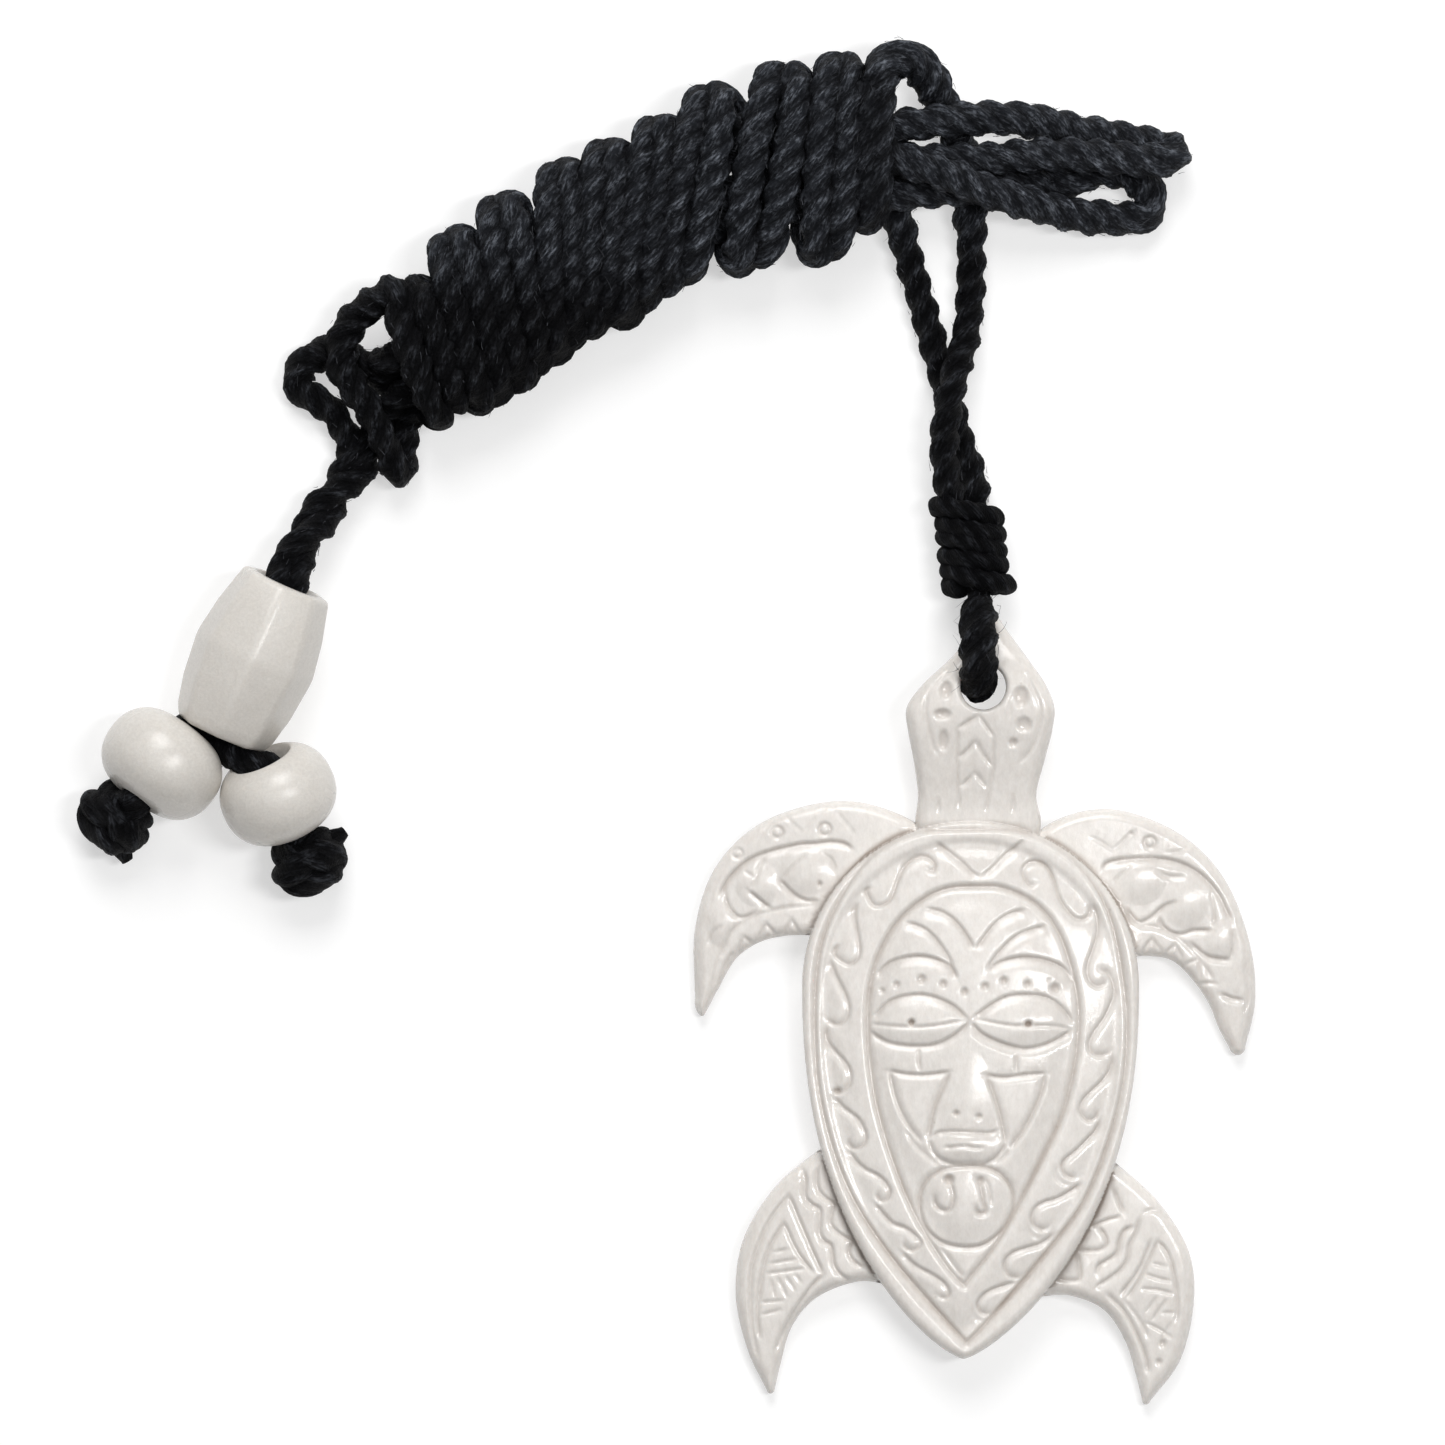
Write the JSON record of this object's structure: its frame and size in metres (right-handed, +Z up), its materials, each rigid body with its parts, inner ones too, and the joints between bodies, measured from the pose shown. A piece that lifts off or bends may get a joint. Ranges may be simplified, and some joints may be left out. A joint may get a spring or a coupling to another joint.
{
  "type": "carved bone turtle pendant on a wound cord",
  "caption": "Carved bone pendant in the form of a turtle with a raised pattern on its shell, on a black cord wound into a hank, with bone beads and knots at the cord's end.",
  "frame": {"origin": "middle of the shell's flat back, on the surface the piece lies on", "axes": "+Z up off the surface, +Y from the turtle's tail to its head, +X to the right as seen from above"},
  "size_m": [0.0749, 0.0868, 0.0082],
  "materials": {
    "carved_bone": "satin polish, for carved bone",
    "bead_bone": "satin polish, for bone beads",
    "cord": "matt waxed cotton"
  },
  "bodies": {
    "root": {"turtle": "carved_bone", "bail_cord": "cord", "whipping": "cord", "left_leg": "cord", "right_leg": "cord", "hank": "cord", "upper_loop": "cord", "lower_loop": "cord", "end_loop": "cord", "end_turn": "cord", "left_tail": "cord", "right_tail": "cord", "barrel_bead": "bead_bone", "left_side_bead": "bead_bone", "right_side_bead": "bead_bone", "left_knot": "cord", "right_knot": "cord"}
  },
  "joints": []
}
